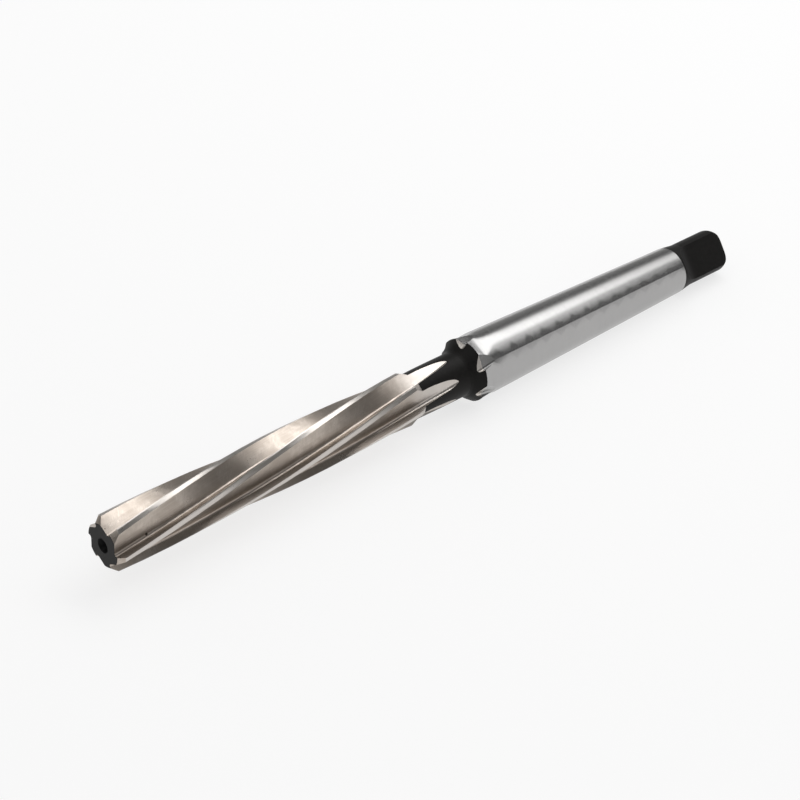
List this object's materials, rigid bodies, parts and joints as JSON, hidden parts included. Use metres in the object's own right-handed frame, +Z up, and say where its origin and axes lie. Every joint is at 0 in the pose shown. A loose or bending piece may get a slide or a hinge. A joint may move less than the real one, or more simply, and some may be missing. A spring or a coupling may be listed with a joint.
{
  "type": "machine reamer",
  "caption": "Solid steel reamer that finishes a drilled hole: left-hand helical flutes, relieved neck, collar, self-holding taper shank and flat drive tang.",
  "frame": {"origin": "bottom centre of the tool's bounding box as it lies on its taper shank", "axes": "+X along the tool from the cutting end to the tang, +Z up from the surface it lies on"},
  "size_m": [0.1516, 0.0122, 0.0127],
  "materials": {
    "tool_steel": "ground bright on the teeth and taper, dark oxide on the neck and tang"
  },
  "bodies": {
    "root": {"machine_reamer": "tool_steel"}
  },
  "joints": []
}
